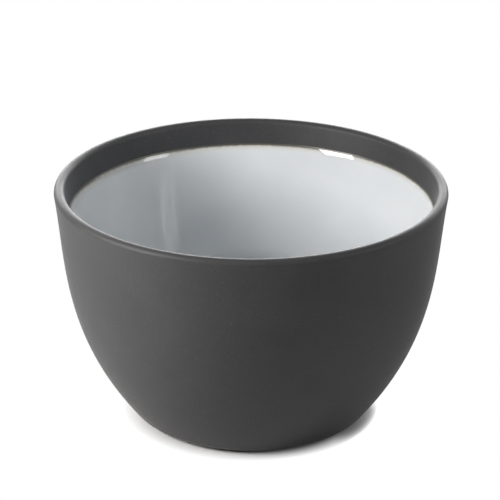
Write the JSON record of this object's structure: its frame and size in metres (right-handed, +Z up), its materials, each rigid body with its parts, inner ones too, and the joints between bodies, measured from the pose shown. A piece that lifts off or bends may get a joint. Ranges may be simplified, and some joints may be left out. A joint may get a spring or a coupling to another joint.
{
  "type": "latte bowl",
  "caption": "Deep round bowl for milky coffee: matt dark porcelain with a half-round lip, a white glossy lining that stops short of the lip, and a small ground foot ring.",
  "frame": {"origin": "on the table, in the middle of the foot ring", "axes": "+Z up along the bowl's axis of revolution; X and Y are alike, because the bowl is round"},
  "size_m": [0.125, 0.125, 0.077],
  "materials": {
    "matt_porcelain": "matt, fine grained, with a satin sheen at grazing angles",
    "white_glaze": "glossy, cool white, a little warmer along its edge",
    "brown_glaze_edge": "glossy olive brown, thin and translucent"
  },
  "bodies": {
    "root": {"bowl_body": "matt_porcelain", "inner_glaze": "white_glaze", "glaze_edge_line": "brown_glaze_edge"}
  },
  "joints": []
}
